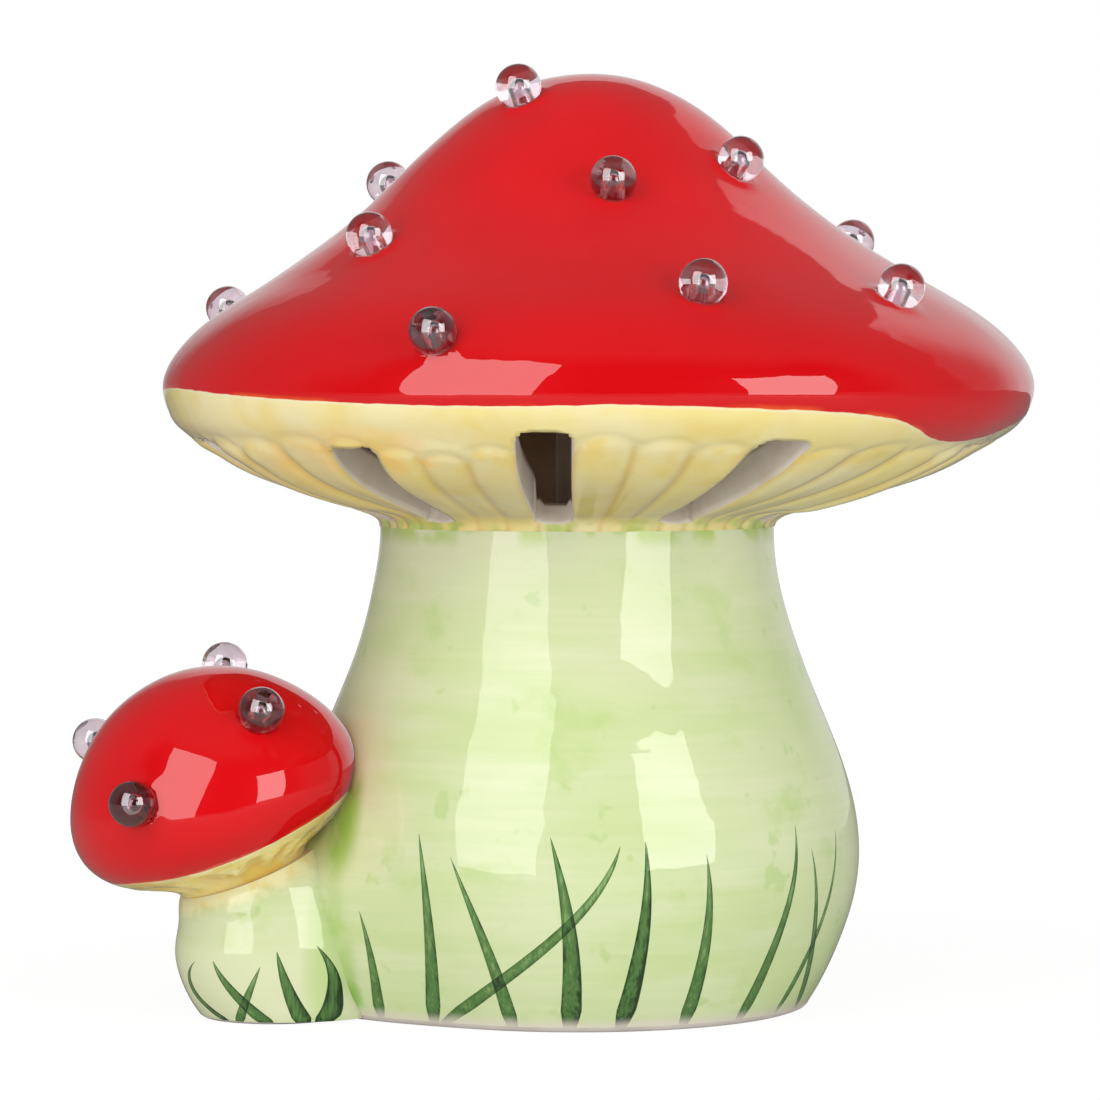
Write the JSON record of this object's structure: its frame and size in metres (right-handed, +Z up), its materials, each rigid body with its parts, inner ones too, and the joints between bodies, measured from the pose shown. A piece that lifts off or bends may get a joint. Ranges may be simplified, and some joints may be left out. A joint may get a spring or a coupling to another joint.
{
  "type": "ceramic mushroom ornament",
  "caption": "Light-up glazed ceramic ornament of a large and a small red-capped toadstool, with clear globes in the caps, slotted gills and a battery lamp in the foot.",
  "frame": {"origin": "on the table plane, under the axis of the large stem", "axes": "+Z up, front faces -Y, small toadstool towards -X"},
  "size_m": [0.2282, 0.2119, 0.223],
  "materials": {
    "red_glaze": "high gloss red glaze",
    "yellow_glaze": "gloss glaze, pale yellow with brushed patches",
    "green_glaze": "gloss glaze, pale green wash with painted grass",
    "clear_globe": "clear, polished",
    "white_plastic": "moulded, fine grain",
    "black_plastic": "moulded, fine grain",
    "cell_can": "printed sleeve, satin",
    "contact_steel": "nickel plated",
    "board_green": "solder mask",
    "led_lens": "clear, polished",
    "wire_red": "wire insulation"
  },
  "bodies": {
    "ornament": {"large_cap": "red_glaze", "small_cap": "red_glaze", "gill_plate": "yellow_glaze", "small_gill_ring": "yellow_glaze", "large_stem": "green_glaze", "small_stem": "green_glaze", "globe_01": "clear_globe", "globe_02": "clear_globe", "globe_03": "clear_globe", "globe_04": "clear_globe", "globe_05": "clear_globe", "globe_06": "clear_globe", "globe_07": "clear_globe", "globe_08": "clear_globe", "globe_09": "clear_globe", "globe_10": "clear_globe", "globe_11": "clear_globe", "globe_12": "clear_globe", "globe_13": "clear_globe", "globe_14": "clear_globe", "globe_15": "clear_globe", "globe_16": "clear_globe", "small_globe_1": "clear_globe", "small_globe_2": "clear_globe", "small_globe_3": "clear_globe", "small_globe_4": "clear_globe", "small_globe_5": "clear_globe", "small_globe_6": "clear_globe", "base_plate": "white_plastic", "lamp_post": "white_plastic", "switch_body": "black_plastic", "aa_cell_1": "cell_can", "aa_cell_2": "cell_can", "aa_cell_3": "cell_can", "battery_contacts": "contact_steel", "board_screws": "contact_steel", "circuit_board": "board_green", "lamp_board": "board_green", "lamp_leds": "led_lens", "lamp_wires": "wire_red", "switch_wires": "wire_red", "battery_wires": "wire_red"},
    "battery_door": {"battery_door": "white_plastic"},
    "switch_knob": {"switch_knob": "black_plastic"}
  },
  "joints": [
    {"name": "battery_door_hinge", "type": "hinge", "parent": "ornament", "child": "battery_door", "pos_m": [0.0256, 0, 0.0021], "axis": [0, -1, 0], "range_deg": [0, 95]},
    {"name": "switch_slide", "type": "slide", "parent": "ornament", "child": "switch_knob", "axis": [1, 0, 0], "range_m": [-0.002, 0.002]}
  ]
}
